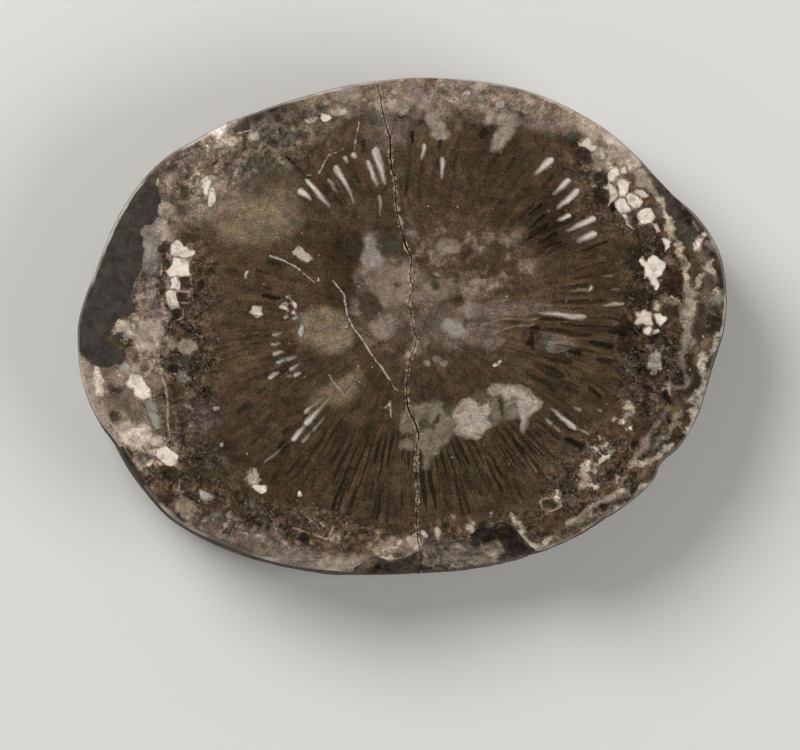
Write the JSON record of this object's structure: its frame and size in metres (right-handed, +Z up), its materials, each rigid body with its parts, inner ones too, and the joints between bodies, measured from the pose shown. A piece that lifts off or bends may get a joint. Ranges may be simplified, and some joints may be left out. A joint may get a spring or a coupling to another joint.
{
  "type": "fossil coral slice",
  "caption": "Oval slice of a fossil horn coral in limestone, polished on top and sawn flat underneath, that lies on a surface for display or study.",
  "frame": {"origin": "middle of the slice's bounding box, on its flat sawn back", "axes": "+Z up through the polished face, +X along the slice's long side, +Y towards the unchipped side"},
  "size_m": [0.0592, 0.0454, 0.012],
  "materials": {
    "polished_coral_stone": "polished"
  },
  "bodies": {
    "root": {"coral_slice": "polished_coral_stone"}
  },
  "joints": []
}
